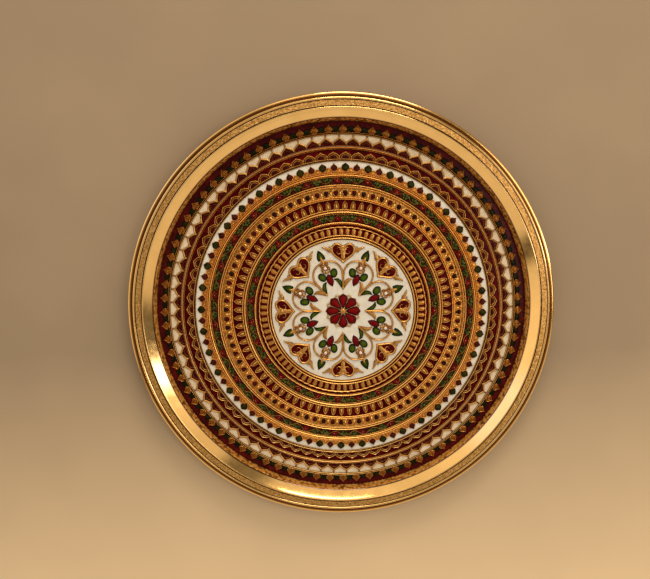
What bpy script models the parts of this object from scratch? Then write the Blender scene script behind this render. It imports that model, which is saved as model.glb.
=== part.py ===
"""Round enamelled brass plate with a rosette and rings of raised ornament.

The plate lies flat, +Z up, resting on its flat base at z = 0, with its axis on the Z axis.
Angles of ornament are clockwise from +Y, seen from above. All sizes are in metres.

A spun brass dish carries flush enamel grounds in its well. Raised gold borders lie over most
joints between the grounds, and their outer edges are cut into one motif for each pitch.
"""

import math

import bmesh
import bpy
from mathutils import Matrix, Vector


# Clearances
JOINT_GAP = 0.0003
SCREW_MERGE = 0.00001

# Metal and enamel thicknesses
SHEET_THICKNESS = 0.0016
ENAMEL_THICKNESS = 0.0006
BORDER_HEIGHT = 0.0010
PLAQUE_THICKNESS = 0.0008

# Fields of the floor, from the centre outwards, with a border between each two
MEDALLION_RADIUS = 0.0520
MEDALLION_BORDER_WIDTH = 0.0035
COLONNADE_WIDTH = 0.0079
VINE_BORDER_WIDTH = 0.0017
INNER_VINE_WIDTH = 0.0062
TOOTH_BORDER_WIDTH = 0.0030
TOOTH_FIELD_WIDTH = 0.0066
DROP_FIELD_WIDTH = 0.0087
TWIN_BORDER_WIDTH = 0.0022
OUTER_VINE_WIDTH = 0.0053
SCROLL_FIELD_WIDTH = 0.0060
INNER_WHITE_WIDTH = 0.0041
LACE_BORDER_WIDTH = 0.0019
LACE_FIELD_WIDTH = 0.0075
RIDGE_BORDER_WIDTH = 0.0013
OUTER_WHITE_WIDTH = 0.0074
BUD_BORDER_WIDTH = 0.0016
BUD_FIELD_WIDTH = 0.0081

# Rim of the dish
BEAD_RING_THICKNESS = 0.0007
WALL_HEIGHT = 0.0074
POLISHED_BAND_RUN = 0.0062
POLISHED_BAND_RISE = 0.0052
BAND_SEAT_DROP = 0.0008
MILLED_BAND_WIDTH = 0.0040
MILLED_BAND_THICKNESS = 0.0008
RIDGE_WIDTH = 0.0008
RIDGE_HEIGHT = 0.0008
GROOVE_WIDTH = 0.0012
GROOVE_DEPTH = 0.0013
EDGE_ROLL_RADIUS = 0.0015
BASE_CORNER = 0.0008

# Rings of motifs
MOTIFS_PER_RING = 80
MAIN_PHASE = 0.9
CROWN_PHASE = 3.3
BUD_PHASE = 0.0
COLUMN_LENGTH = 0.0058
COLUMN_WIDTH = 0.0029
TOOTH_LENGTH = 0.0052
LARGE_DROP_LENGTH = 0.0028
SMALL_DROP_LENGTH = 0.0021
LACE_ARCH_LENGTH = 0.0046
CROWN_LENGTH = 0.0064
CROWN_WIDTH = 0.0040
CROWN_DOME_HEIGHT = 0.0030
BUD_LENGTH = 0.0056

# Rosette, arcade and hearts in the medallion
SECTORS = 8
BOSS_RADIUS = 0.0022
BOSS_HEIGHT = 0.0012
PETAL_TIP_RADIUS = 0.0128
PETAL_SPACING = 0.0004
ARCH_WIRE_RADIUS = 0.00050
ARCH_FOOT_OFFSET = 0.0044
ARCH_STEM_SPACING = 0.0018
LEAF_TIP_MARGIN = 0.0039
LEAF_TIP_LENGTH = 0.0080
LEAF_TIP_WIDTH = 0.0058
SPRAY_RISE = 0.0024
SPRAY_WIDTH = 0.0136
PEARL_RADIUS = 0.0012
PEARL_HEIGHT = 0.0012
HEART_MARGIN = 0.0036
HEART_LENGTH = 0.0122
HEART_SPAN = 0.0260

# Shapes in the medallion, as shares of their own length and width
PETAL_SHOULDER = 0.78
PETAL_NOTCH = 0.92
BOSS_CROWN = 0.7
STEM_TOP = 0.36
BELLY_LEVEL = 0.58
ARCH_HAUNCH = (0.84, 0.82)
ARCH_NECK = (0.44, 0.96)
LEAF_TIP_WIDEST = 0.3
PEARL_LEVEL = 0.78
SPRAY_BUD = [(0.15, 0.22), (0.15, 0.36)]
SPRAY_LEAF = [(0.36, 0.28), (0.5, 0.52), (0.36, 0.64)]
SPRAY_KNOT = [(0.2, 0.68), (0.2, 0.92)]
HEART_SIDE = [(0.2, 0.27), (0.32, 0.55)]
HEART_WING = [(0.42, 0.6), (0.54, 0.83), (0.37, 0.81)]
HEART_LOBE = [(0.28, 0.93), (0.16, 1.0)]
HEART_CLEFT = 0.82

# Facets around each turned piece
RIM_FACETS = 72
BORDER_FACETS = 48
GROUND_FACETS = 36
BOSS_FACETS = 12
ROLL_STEPS = 4

# Levels of the floor
GROUND_BASE = SHEET_THICKNESS + JOINT_GAP
GROUND_TOP = GROUND_BASE + ENAMEL_THICKNESS
RELIEF_BASE = GROUND_TOP + JOINT_GAP

# Radii of the fields, added up from the widths
COLONNADE_INNER = MEDALLION_RADIUS + MEDALLION_BORDER_WIDTH
COLONNADE_OUTER = COLONNADE_INNER + COLONNADE_WIDTH
INNER_VINE_INNER = COLONNADE_OUTER + VINE_BORDER_WIDTH
INNER_VINE_OUTER = INNER_VINE_INNER + INNER_VINE_WIDTH
TOOTH_INNER = INNER_VINE_OUTER + TOOTH_BORDER_WIDTH
TOOTH_OUTER = TOOTH_INNER + TOOTH_FIELD_WIDTH
DROP_OUTER = TOOTH_OUTER + DROP_FIELD_WIDTH
OUTER_VINE_INNER = DROP_OUTER + TWIN_BORDER_WIDTH
OUTER_VINE_OUTER = OUTER_VINE_INNER + OUTER_VINE_WIDTH
SCROLL_OUTER = OUTER_VINE_OUTER + SCROLL_FIELD_WIDTH
INNER_WHITE_OUTER = SCROLL_OUTER + INNER_WHITE_WIDTH
LACE_INNER = INNER_WHITE_OUTER + LACE_BORDER_WIDTH
LACE_OUTER = LACE_INNER + LACE_FIELD_WIDTH
OUTER_WHITE_INNER = LACE_OUTER + RIDGE_BORDER_WIDTH
OUTER_WHITE_OUTER = OUTER_WHITE_INNER + OUTER_WHITE_WIDTH
BUD_INNER = OUTER_WHITE_OUTER + BUD_BORDER_WIDTH
BUD_OUTER = BUD_INNER + BUD_FIELD_WIDTH
WALL_INNER = BUD_OUTER + BEAD_RING_THICKNESS + 2 * JOINT_GAP

PITCH_ANGLE = 360 / MOTIFS_PER_RING
SECTOR_ANGLE = 360 / SECTORS


def clear_scene():
    for scene_object in list(bpy.data.objects):
        bpy.data.objects.remove(scene_object, do_unlink=True)


def new_collection(name):
    collection = bpy.data.collections.new(name)
    bpy.context.scene.collection.children.link(collection)
    return collection


def new_material(name, colour, roughness, metallic):
    material = bpy.data.materials.new(name)
    material.use_nodes = True
    shader = material.node_tree.nodes["Principled BSDF"]
    shader.inputs["Base Color"].default_value = (*colour, 1.0)
    shader.inputs["Roughness"].default_value = roughness
    shader.inputs["Metallic"].default_value = metallic
    material.diffuse_color = (*colour, 1.0)
    return material


def gold(name, roughness):
    return new_material(name + "_metal", (0.72, 0.42, 0.12), roughness, 1.0)


def enamel(name, colour):
    return new_material(name + "_enamel", colour, 0.25, 0.0)


GILT = (0.62, 0.34, 0.10)
WHITE = (0.68, 0.62, 0.50)
DARK_RED = (0.085, 0.004, 0.004)
BRIGHT_RED = (0.22, 0.008, 0.008)
DARK_GREEN = (0.012, 0.030, 0.010)
LEAF_GREEN = (0.035, 0.110, 0.015)
PEARL = (0.80, 0.72, 0.62)


def add_object(name, data, material, collection):
    piece = bpy.data.objects.new(name, data)
    piece.data.materials.append(material)
    collection.objects.link(piece)
    return piece


def turned(name, profile, facets, material, collection, closed=True):
    """Turn a profile of (radius, height) points about the Z axis, outer side top to bottom."""
    mesh = bpy.data.meshes.new(name)
    points = [(radius, 0.0, height) for radius, height in profile]
    edges = [(index, index + 1) for index in range(len(points) - 1)]
    if closed:
        edges.append((len(points) - 1, 0))
    mesh.from_pydata(points, edges, [])
    piece = add_object(name, mesh, material, collection)
    screw = piece.modifiers.new("turn", "SCREW")
    screw.axis = "Z"
    screw.angle = math.tau
    screw.steps = facets
    screw.render_steps = facets
    screw.use_merge_vertices = True
    screw.merge_threshold = SCREW_MERGE
    screw.use_smooth_shade = True
    return piece


def flat_ring(name, inner, outer, base, thickness, facets, material, collection):
    profile = [
        (inner, base + thickness),
        (outer, base + thickness),
        (outer, base),
        (inner, base),
    ]
    return turned(name, profile, facets, material, collection)


def ground_ring(name, inner, outer, colour, collection):
    """A flush enamel ground with half a joint gap left at each side."""
    return flat_ring(
        name,
        inner + JOINT_GAP / 2,
        outer - JOINT_GAP / 2,
        GROUND_BASE,
        ENAMEL_THICKNESS,
        GROUND_FACETS,
        enamel(name, colour),
        collection,
    )


def crest_border(name, inner, outer, collection):
    """A narrow raised border with a sharp crest."""
    profile = [
        ((inner + outer) / 2, RELIEF_BASE + BORDER_HEIGHT),
        (outer, RELIEF_BASE),
        (inner, RELIEF_BASE),
    ]
    return turned(name, profile, BORDER_FACETS, gold(name, 0.35), collection)


def broad_border(name, inner, outer, collection):
    """A wide raised border with a flat top and sloping sides."""
    slope = (outer - inner) / 4
    profile = [
        (inner + slope, RELIEF_BASE + BORDER_HEIGHT),
        (outer - slope, RELIEF_BASE + BORDER_HEIGHT),
        (outer, RELIEF_BASE),
        (inner, RELIEF_BASE),
    ]
    return turned(name, profile, BORDER_FACETS, gold(name, 0.35), collection)


def around(count, phase, radius=0.0):
    """Places at equal angles, clockwise from +Y, each with its own +Y pointing outwards."""
    places = []
    for index in range(count):
        angle = math.radians(phase + index * 360 / count)
        shift = Matrix.Translation((0.0, radius, 0.0))
        places.append(Matrix.Rotation(-angle, 4, "Z") @ shift)
    return places


def placed(outline, places):
    """One closed line that repeats a piece of outline at each place, anticlockwise."""
    points = []
    for place in reversed(places):
        points += [place @ Vector((x, y, 0.0)) for x, y in outline]
    return [(point.x, point.y) for point in points]


def circle(radius, count):
    angles = [math.tau * index / count for index in range(count)]
    return [(radius * math.cos(angle), radius * math.sin(angle)) for angle in angles]


def mirrored(half):
    """Close an outline from its half at x >= 0, listed from the bottom up to the tip."""
    other = [(-x, y) for x, y in reversed(half) if x > 0]
    return half + other


def pitch_at(radius):
    return math.tau * radius / MOTIFS_PER_RING


def outlined(half, width, length):
    """A closed outline from its right half, given as shares of the width and length."""
    return mirrored([(x * width, y * length) for x, y in half])


def plaque(name, outlines, material, collection, place=Matrix.Identity(4)):
    """A flat plaque: the first closed outline is its edge, any other is a hole."""
    curve = bpy.data.curves.new(name, "CURVE")
    curve.dimensions = "2D"
    curve.fill_mode = "BOTH"
    curve.extrude = PLAQUE_THICKNESS / 2
    for outline in outlines:
        spline = curve.splines.new("POLY")
        spline.points.add(len(outline) - 1)
        for point, (x, y) in zip(spline.points, outline):
            point.co = (x, y, 0.0, 1.0)
        spline.use_cyclic_u = True
    piece = add_object(name, curve, material, collection)
    piece.matrix_world = place
    piece.location.z = RELIEF_BASE + PLAQUE_THICKNESS / 2
    return piece


def numbered_plaques(name, outline, places, material, collection):
    for number, place in enumerate(places, 1):
        plaque(f"{name}_{number}", [outline], material, collection, place)


def motif_ring(name, inner, motif, phase, radius, collection):
    """A flat border ring whose outer edge carries one raised motif for each pitch."""
    edge = placed(motif, around(MOTIFS_PER_RING, phase, radius))
    hole = circle(inner, GROUND_FACETS)
    plaque(name, [edge, hole], gold(name, 0.4), collection)


def make_dish(collection):
    """Spun sheet: flat base, steep wall, sloping polished band, seat, groove and rolled edge."""
    wall_top = SHEET_THICKNESS + WALL_HEIGHT
    band_outer = WALL_INNER + POLISHED_BAND_RUN
    band_top = wall_top + POLISHED_BAND_RISE
    seat_inner = band_outer + BAND_SEAT_DROP
    seat_height = band_top - BAND_SEAT_DROP
    seat_outer = seat_inner + MILLED_BAND_WIDTH + 2 * JOINT_GAP
    ridge_inner = seat_outer + RIDGE_HEIGHT / 2
    ridge_outer = ridge_inner + RIDGE_WIDTH
    ridge_top = seat_height + RIDGE_HEIGHT
    groove_radius = ridge_outer + GROOVE_WIDTH
    groove_height = ridge_top - GROOVE_DEPTH
    roll_centre = (groove_radius + EDGE_ROLL_RADIUS, groove_height - EDGE_ROLL_RADIUS / 2)
    underside = seat_height - SHEET_THICKNESS
    profile = [
        (0.0, SHEET_THICKNESS),
        (WALL_INNER, SHEET_THICKNESS),
        (WALL_INNER, wall_top),
        (band_outer, band_top),
        (seat_inner, seat_height),
        (seat_outer, seat_height),
        (ridge_inner, ridge_top),
        (ridge_outer, ridge_top),
        (groove_radius, groove_height),
    ]
    for step in range(ROLL_STEPS + 1):
        angle = math.radians(75 - step * 200 / ROLL_STEPS)
        radius = roll_centre[0] + EDGE_ROLL_RADIUS * math.cos(angle)
        height = roll_centre[1] + EDGE_ROLL_RADIUS * math.sin(angle)
        profile.append((radius, height))
    profile += [
        (seat_outer, underside),
        (band_outer, underside),
        (WALL_INNER + SHEET_THICKNESS, wall_top - SHEET_THICKNESS / 2),
        (WALL_INNER + SHEET_THICKNESS, BASE_CORNER),
        (WALL_INNER + SHEET_THICKNESS - BASE_CORNER, 0.0),
        (0.0, 0.0),
    ]
    turned("dish", profile, RIM_FACETS, gold("dish", 0.16), collection, closed=False)

    flat_ring(
        "milled_band",
        seat_inner + JOINT_GAP,
        seat_inner + JOINT_GAP + MILLED_BAND_WIDTH,
        seat_height + JOINT_GAP,
        MILLED_BAND_THICKNESS,
        RIM_FACETS,
        gold("milled_band", 0.45),
        collection,
    )


def make_bead_ring(collection):
    """A thin beaded strip that lines the wall above the joint with the floor."""
    inner = BUD_OUTER + JOINT_GAP
    outer = inner + BEAD_RING_THICKNESS
    top = SHEET_THICKNESS + WALL_HEIGHT - JOINT_GAP
    profile = [
        (outer, top),
        (outer, GROUND_BASE),
        (inner, GROUND_BASE),
    ]
    turned("bead_ring", profile, RIM_FACETS, gold("bead_ring", 0.5), collection)


def make_grounds(collection):
    """Flush grounds that fill the floor; their joints lie under the raised borders."""
    colonnade_joint = MEDALLION_RADIUS + MEDALLION_BORDER_WIDTH / 2
    vine_joint = COLONNADE_OUTER + VINE_BORDER_WIDTH / 2
    tooth_joint = INNER_VINE_OUTER + TOOTH_BORDER_WIDTH / 2
    twin_joint = DROP_OUTER + TWIN_BORDER_WIDTH / 2
    scroll_joint = OUTER_VINE_OUTER + SCROLL_FIELD_WIDTH / 2
    lace_joint = INNER_WHITE_OUTER + LACE_BORDER_WIDTH / 2
    ridge_joint = LACE_OUTER + RIDGE_BORDER_WIDTH / 2
    bud_joint = OUTER_WHITE_OUTER + BUD_BORDER_WIDTH / 2

    disc_radius = colonnade_joint - JOINT_GAP / 2
    disc_profile = [
        (0.0, GROUND_TOP),
        (disc_radius, GROUND_TOP),
        (disc_radius, GROUND_BASE),
        (0.0, GROUND_BASE),
    ]
    disc_enamel = enamel("medallion_ground", WHITE)
    turned("medallion_ground", disc_profile, GROUND_FACETS, disc_enamel, collection, closed=False)
    ground_ring("colonnade_ground", colonnade_joint, vine_joint, DARK_RED, collection)
    ground_ring("inner_vine_ground", vine_joint, tooth_joint, DARK_GREEN, collection)
    ground_ring("tooth_ground", tooth_joint, TOOTH_OUTER, DARK_RED, collection)
    ground_ring("drop_ground", TOOTH_OUTER, twin_joint, GILT, collection)
    ground_ring("outer_vine_ground", twin_joint, scroll_joint, DARK_GREEN, collection)
    ground_ring("inner_white_ground", scroll_joint, lace_joint, WHITE, collection)
    ground_ring("lace_ground", lace_joint, ridge_joint, DARK_RED, collection)
    ground_ring("outer_white_ground", ridge_joint, bud_joint, WHITE, collection)
    ground_ring("bud_ground", bud_joint, BUD_OUTER + JOINT_GAP / 2, DARK_RED, collection)


def make_borders(collection):
    crest_border("vine_border", COLONNADE_OUTER, INNER_VINE_INNER, collection)
    broad_border("twin_border", DROP_OUTER, OUTER_VINE_INNER, collection)


def make_colonnade(collection):
    """The medallion's gold border, with a gold column for each pitch of the ring."""
    motif = [
        (COLUMN_WIDTH / 2, 0.0),
        (COLUMN_WIDTH / 2, COLUMN_LENGTH),
        (-COLUMN_WIDTH / 2, COLUMN_LENGTH),
        (-COLUMN_WIDTH / 2, 0.0),
    ]
    phase = MAIN_PHASE + PITCH_ANGLE / 2
    motif_ring("colonnade", MEDALLION_RADIUS, motif, phase, COLONNADE_INNER, collection)


def make_teeth(collection):
    """A gold border with lotus teeth that point outwards across the red field."""
    motif = [
        (pitch_at(TOOTH_INNER) / 2, 0.0),
        (0.0, TOOTH_LENGTH),
    ]
    motif_ring("lotus_teeth", INNER_VINE_OUTER, motif, MAIN_PHASE, TOOTH_INNER, collection)


def make_scroll(collection):
    """The gold scroll ground, its outer edge drawn out into large and small drops."""
    valley = (pitch_at(SCROLL_OUTER) / 2, 0.0)
    large = [valley, (0.0, LARGE_DROP_LENGTH)]
    small = [valley, (0.0, SMALL_DROP_LENGTH)]
    places = around(MOTIFS_PER_RING, MAIN_PHASE, SCROLL_OUTER)
    edge = []
    for index in reversed(range(MOTIFS_PER_RING)):
        edge += placed(small if index % 2 else large, [places[index]])
    hole = circle(OUTER_VINE_OUTER, GROUND_FACETS)
    plaque("scroll_drops", [edge, hole], gold("scroll_drops", 0.45), collection)


def make_lace(collection):
    """A fine gold border with pointed arches side by side on the red band."""
    motif = [
        (pitch_at(LACE_INNER) / 2, 0.0),
        (0.0, LACE_ARCH_LENGTH),
    ]
    motif_ring("lace_arches", INNER_WHITE_OUTER, motif, MAIN_PHASE, LACE_INNER, collection)


def make_crowns(collection):
    """The ridge border, with domes that end in a spire across the white ring."""
    motif = [
        (pitch_at(OUTER_WHITE_INNER) / 2, 0.0),
        (CROWN_WIDTH / 2, CROWN_DOME_HEIGHT),
        (0.0, CROWN_LENGTH),
        (-CROWN_WIDTH / 2, CROWN_DOME_HEIGHT),
    ]
    motif_ring("crowns", LACE_OUTER, motif, CROWN_PHASE, OUTER_WHITE_INNER, collection)


def make_outer_buds(collection):
    """A fine gold border with pointed buds on the dark red field."""
    motif = [
        (pitch_at(BUD_INNER) / 2, 0.0),
        (0.0, BUD_LENGTH),
    ]
    motif_ring("outer_buds", OUTER_WHITE_OUTER, motif, BUD_PHASE, BUD_INNER, collection)


def make_centre(collection):
    """A gold boss on a rosette of eight pointed petals."""
    half_sector = math.radians(SECTOR_ANGLE / 2)
    shoulder_radius = PETAL_TIP_RADIUS * PETAL_SHOULDER
    shoulder = shoulder_radius * math.tan(half_sector) - PETAL_SPACING / 2
    notch_radius = shoulder_radius * PETAL_NOTCH
    petal = [
        (notch_radius * math.sin(half_sector), notch_radius * math.cos(half_sector)),
        (shoulder, shoulder_radius),
        (0.0, PETAL_TIP_RADIUS),
        (-shoulder, shoulder_radius),
    ]
    rosette_edge = placed(petal, around(SECTORS, 0.0))
    plaque("rosette", [rosette_edge], enamel("rosette", BRIGHT_RED), collection)

    seat = RELIEF_BASE + PLAQUE_THICKNESS + JOINT_GAP
    boss_profile = [
        (0.0, seat + BOSS_HEIGHT),
        (BOSS_RADIUS * BOSS_CROWN, seat + BOSS_HEIGHT * BOSS_CROWN),
        (BOSS_RADIUS, seat),
        (0.0, seat),
    ]
    turned("centre_boss", boss_profile, BOSS_FACETS, gold("centre_boss", 0.3), collection, closed=False)


def make_medallion(collection):
    """An arcade of ogee arches in one wire, with a spray, a pearl and a leaf tip for each."""
    side_tangent = math.tan(math.radians(SECTOR_ANGLE / 2))
    foot = PETAL_TIP_RADIUS + ARCH_FOOT_OFFSET
    leaf_start = MEDALLION_RADIUS - LEAF_TIP_MARGIN - LEAF_TIP_LENGTH
    crest = leaf_start - JOINT_GAP - ARCH_WIRE_RADIUS
    rise = crest - foot
    centre_lines = around(SECTORS, SECTOR_ANGLE / 2)

    def beside_stem(share):
        along = foot + rise * share
        return (along * side_tangent - ARCH_STEM_SPACING / 2, along)

    belly = beside_stem(BELLY_LEVEL)[0] - ARCH_STEM_SPACING / 2
    right_half = [
        beside_stem(0.0),
        beside_stem(STEM_TOP),
        (belly, foot + rise * BELLY_LEVEL),
    ]
    for across, level in (ARCH_HAUNCH, ARCH_NECK):
        right_half.append((belly * across, foot + rise * level))
    left_half = [(-x, y) for x, y in reversed(right_half)]
    arch = right_half + [(0.0, crest)] + left_half
    path = placed(arch, centre_lines)
    closed_wire("ogee_arcade", path, ARCH_WIRE_RADIUS, gold("ogee_arcade", 0.3), collection)

    tips = around(SECTORS, SECTOR_ANGLE / 2, leaf_start)
    tip_half = [(0.0, 0.0), (0.5, LEAF_TIP_WIDEST), (0.0, 1.0)]
    tip_outline = outlined(tip_half, LEAF_TIP_WIDTH, LEAF_TIP_LENGTH)
    numbered_plaques("leaf_tip", tip_outline, tips, enamel("leaf_tip", LEAF_GREEN), collection)

    spray_top = crest - ARCH_WIRE_RADIUS - JOINT_GAP
    spray_base = foot + SPRAY_RISE
    spray_length = spray_top - spray_base
    spray_half = [(0.0, 0.0)] + SPRAY_BUD + SPRAY_LEAF + SPRAY_KNOT + [(0.0, 1.0)]
    spray_outline = outlined(spray_half, SPRAY_WIDTH, spray_length)
    sprays = around(SECTORS, SECTOR_ANGLE / 2, spray_base)
    numbered_plaques("spray", spray_outline, sprays, gold("spray", 0.35), collection)

    pearl_seat = RELIEF_BASE + PLAQUE_THICKNESS + JOINT_GAP
    pearl_enamel = enamel("pearl", PEARL)
    pearl_places = around(SECTORS, SECTOR_ANGLE / 2, spray_base + spray_length * PEARL_LEVEL)
    for number, place in enumerate(pearl_places, 1):
        add_pearl(f"pearl_{number}", place, pearl_seat, pearl_enamel, collection)


def closed_wire(name, path, radius, material, collection):
    """A round wire along a closed flat path, lying on the grounds."""
    curve = bpy.data.curves.new(name, "CURVE")
    curve.dimensions = "3D"
    curve.bevel_depth = radius
    curve.bevel_resolution = 0
    spline = curve.splines.new("POLY")
    spline.points.add(len(path) - 1)
    for point, (x, y) in zip(spline.points, path):
        point.co = (x, y, RELIEF_BASE + radius, 1.0)
    spline.use_cyclic_u = True
    return add_object(name, curve, material, collection)


def add_pearl(name, place, seat, material, collection):
    """A low round pearl on its seat."""
    mesh = bpy.data.meshes.new(name)
    shape = bmesh.new()
    squash = Matrix.Diagonal((1.0, 1.0, PEARL_HEIGHT / (2 * PEARL_RADIUS), 1.0))
    bmesh.ops.create_icosphere(shape, subdivisions=1, radius=PEARL_RADIUS, matrix=squash)
    shape.to_mesh(mesh)
    shape.free()
    pearl = add_object(name, mesh, material, collection)
    pearl.matrix_world = place
    pearl.location.z = seat + PEARL_HEIGHT / 2
    return pearl


def make_hearts(collection):
    """Eight gold hearts, tip inwards, with a leaf-shaped wing at each side."""
    tip = MEDALLION_RADIUS - HEART_MARGIN - HEART_LENGTH
    half = [(0.0, 0.0)] + HEART_SIDE + HEART_WING + HEART_LOBE + [(0.0, HEART_CLEFT)]
    outline = outlined(half, HEART_SPAN, HEART_LENGTH)
    places = around(SECTORS, 0.0, tip)
    numbered_plaques("heart", outline, places, gold("heart", 0.3), collection)


def main():
    clear_scene()
    plate = new_collection("enamel_plate")
    make_dish(plate)
    make_bead_ring(plate)
    make_grounds(plate)
    make_borders(plate)
    make_colonnade(plate)
    make_teeth(plate)
    make_scroll(plate)
    make_lace(plate)
    make_crowns(plate)
    make_outer_buds(plate)
    make_centre(plate)
    make_medallion(plate)
    make_hearts(plate)


main()
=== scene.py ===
"""Looks of the round enamelled brass plate.

Lengths are in millimetres, and in metres only in the meshes, the camera and the lights.
Angles are in degrees, clockwise from +Y seen from above. A place in a ring of motifs is
(share of a pitch, radius).
"""

import math

import bmesh
import bpy
import numpy as np
from mathutils import Matrix, Vector


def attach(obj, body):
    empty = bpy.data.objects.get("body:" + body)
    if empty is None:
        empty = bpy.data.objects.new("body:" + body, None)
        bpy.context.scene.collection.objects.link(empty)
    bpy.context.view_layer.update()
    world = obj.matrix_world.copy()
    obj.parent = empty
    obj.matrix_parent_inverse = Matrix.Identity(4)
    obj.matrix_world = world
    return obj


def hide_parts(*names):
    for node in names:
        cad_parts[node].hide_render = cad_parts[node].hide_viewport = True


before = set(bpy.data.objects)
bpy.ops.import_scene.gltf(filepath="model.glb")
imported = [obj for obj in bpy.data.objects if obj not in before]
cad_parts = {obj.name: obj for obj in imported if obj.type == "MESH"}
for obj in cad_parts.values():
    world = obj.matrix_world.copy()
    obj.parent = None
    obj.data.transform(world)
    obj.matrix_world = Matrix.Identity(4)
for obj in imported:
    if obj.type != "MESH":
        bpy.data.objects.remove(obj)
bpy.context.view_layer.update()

SCENE = bpy.context.scene
SEED = 11
rng = np.random.default_rng(SEED)

MM = 0.001
MERGE_DISTANCE = 0.000001
SHARP_ANGLE = 50

# Levels and spacing of the ornament
ENAMEL_TOP = 2.5
ENAMEL_BASE = 1.95
SEAT = 2.35
PITCH = 4.5
MOTIFS = 80
MAIN_PHASE = 0.9
CROWN_PHASE = 3.3
BUD_PHASE = 0.0
BETWEEN = MAIN_PHASE + PITCH / 2
VINE_GROUPS = 27
SECTORS = 8
SECTOR = 45.0
ARCH_PHASE = 22.5

# Cross-sections of a raised wire or leaf, and the steps of a domed cell
ROUND = [(-1.0, 0.0), (-0.9, 0.66), (0.0, 1.0), (0.9, 0.66), (1.0, 0.0)]
FOOTED = [
    (-1.0, 0.0), (-0.72, 0.14), (-0.5, 0.76), (0.0, 1.0), (0.5, 0.76), (0.72, 0.14), (1.0, 0.0),
]
FLAT_WIRE = [(-1.0, 0.0), (-0.8, 0.85), (0.0, 1.0), (0.8, 0.85), (1.0, 0.0)]
DOME = [(1.0, 0.0), (0.94, 0.55), (0.65, 0.92)]
SOFT_DOME = [(1.0, 0.0), (0.92, 0.42), (0.75, 0.72), (0.45, 0.93)]
FLAT_DOME = [(1.0, 0.0), (0.97, 0.8), (0.85, 0.97)]

# Points of a round border line, and how much each point of a bead is drawn in
RING_POINTS = 300
BEAD_WAIST = [1.0, 0.0, 0.0]


# Shapes

def grid_faces(rows, columns, wrap_rows, wrap_columns):
    """Quads of a grid of points that are numbered row by row."""
    row = np.arange(rows if wrap_rows else rows - 1)[:, None]
    column = np.arange(columns if wrap_columns else columns - 1)[None, :]
    next_row = (row + 1) % rows
    next_column = (column + 1) % columns
    corners = [
        row * columns + column,
        row * columns + next_column,
        next_row * columns + next_column,
        next_row * columns + column,
    ]
    return np.stack([corner.ravel() for corner in np.broadcast_arrays(*corners)], axis=1)


def outward(points, faces):
    """The solid with its faces turned outwards."""
    volume = 0.0
    for group in faces:
        first = points[group[:, 0]]
        for index in range(1, group.shape[1] - 1):
            area = np.cross(points[group[:, index]], points[group[:, index + 1]])
            volume += (first * area).sum()
    if volume < 0:
        faces = [group[:, ::-1] for group in faces]
    return points, faces


def circle(radius, count):
    """Points around the axis, clockwise from +Y."""
    turn = np.arange(count) * math.tau / count
    return np.column_stack([radius * np.sin(turn), radius * np.cos(turn)])


def ellipse(x, y, half_x, half_y, tilt, count):
    """An ellipse at (x, y), tilted clockwise."""
    turn = np.arange(count) * math.tau / count
    shape = np.column_stack([half_x * np.sin(turn), half_y * np.cos(turn)])
    angle = math.radians(tilt)
    across = shape[:, 0] * math.cos(angle) + shape[:, 1] * math.sin(angle)
    along = -shape[:, 0] * math.sin(angle) + shape[:, 1] * math.cos(angle)
    return np.column_stack([x + across, y + along])


def both(half):
    """A whole outline from its right half, which is listed from the foot to the tip."""
    other = [(-x, y) for x, y in reversed(half) if x > 0]
    return np.array(half + other, float)


def pitched(places):
    """Points from places of (share of a pitch, radius)."""
    places = np.asarray(places, float)
    turn = np.radians(places[:, 0] * PITCH)
    return np.column_stack([places[:, 1] * np.sin(turn), places[:, 1] * np.cos(turn)])


def festoon(places):
    """A closed line all round from the places of one pitch."""
    line = []
    for index in range(MOTIFS):
        line += [(share + index, radius) for share, radius in places]
    return pitched(line)


def curved(points, closed=False, steps=3):
    """A smooth line through the points; a point given twice is a sharp corner."""
    points = np.asarray(points, float)
    count = len(points)
    made = []
    for index in range(count if closed else count - 1):
        if closed:
            four = [points[(index + shift) % count] for shift in (-1, 0, 1, 2)]
        else:
            four = [points[min(max(index + shift, 0), count - 1)] for shift in (-1, 0, 1, 2)]
        before, start, end, after = four
        if np.allclose(start, end):
            continue
        for step in range(steps):
            t = step / steps
            square = 2 * before - 5 * start + 4 * end - after
            cube = 3 * start - before - 3 * end + after
            made.append(0.5 * (2 * start + (end - before) * t + square * t**2 + cube * t**3))
    if not closed:
        made.append(points[-1])
    return np.array(made)


def motif(half, closed=True):
    """The smooth outline of a ring's motif from its right half."""
    return pitched(curved(both(half), closed=closed, steps=2))


def sweep(path, width, height, closed=False, base=SEAT, section=ROUND):
    """A raised wire or blade along a path; its width and height may change on the way."""
    path = np.asarray(path, float)
    count = len(path)
    step = np.roll(path, -1, axis=0) - path
    if not closed:
        step[-1] = step[-2]
    step /= np.linalg.norm(step, axis=1)[:, None]
    before = np.roll(step, 1, axis=0)
    if not closed:
        before[0] = step[0]
    along = step + before
    along /= np.linalg.norm(along, axis=1)[:, None]
    mitre = 1 / np.maximum((along * step).sum(axis=1), 0.6)
    side = np.column_stack([along[:, 1], -along[:, 0]]) * mitre[:, None]
    half = np.broadcast_to(np.asarray(width, float) / 2, count)
    tall = np.broadcast_to(np.asarray(height, float), count)
    points = np.empty((count, len(section), 3))
    for index, (across, up) in enumerate(section):
        points[:, index, :2] = path + side * (across * half)[:, None]
        points[:, index, 2] = base + up * tall
    columns = len(section)
    faces = [grid_faces(count, columns, closed, True)]
    if not closed:
        faces.append(np.arange(columns)[None, :])
        faces.append(np.arange(columns)[None, ::-1] + (count - 1) * columns)
    return outward(points.reshape(-1, 3), faces)


def tapered(places, side, first, last, height):
    """A raised wire on a smooth line, on one side, whose width runs from first to last."""
    line = curved(np.array(places) * [side, 1], steps=2)
    return sweep(line, np.linspace(first, last, len(line)), height)


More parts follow.
